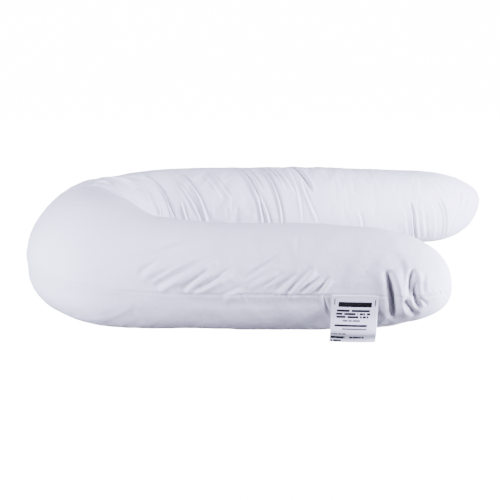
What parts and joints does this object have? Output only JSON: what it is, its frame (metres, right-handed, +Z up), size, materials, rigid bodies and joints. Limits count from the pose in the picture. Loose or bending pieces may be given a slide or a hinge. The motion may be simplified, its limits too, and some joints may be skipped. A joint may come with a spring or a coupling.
{
  "type": "body pillow",
  "caption": "U-shaped filled body pillow of plain white cloth, lying flat with its open end to one side, a plain label hanging from its outer seam.",
  "frame": {"origin": "centre of the whole part in plan, on the surface that it lies on", "axes": "+X to the open end of the U, +Y from the front arm to the back arm, +Z up"},
  "size_m": [1.1573, 0.7888, 0.2376],
  "materials": {
    "cloth": "fine plain-woven cotton, matt with a faint sheen",
    "label_satin": "smooth satin ribbon"
  },
  "bodies": {
    "root": {"pillow": "cloth", "label": "label_satin"}
  },
  "joints": []
}
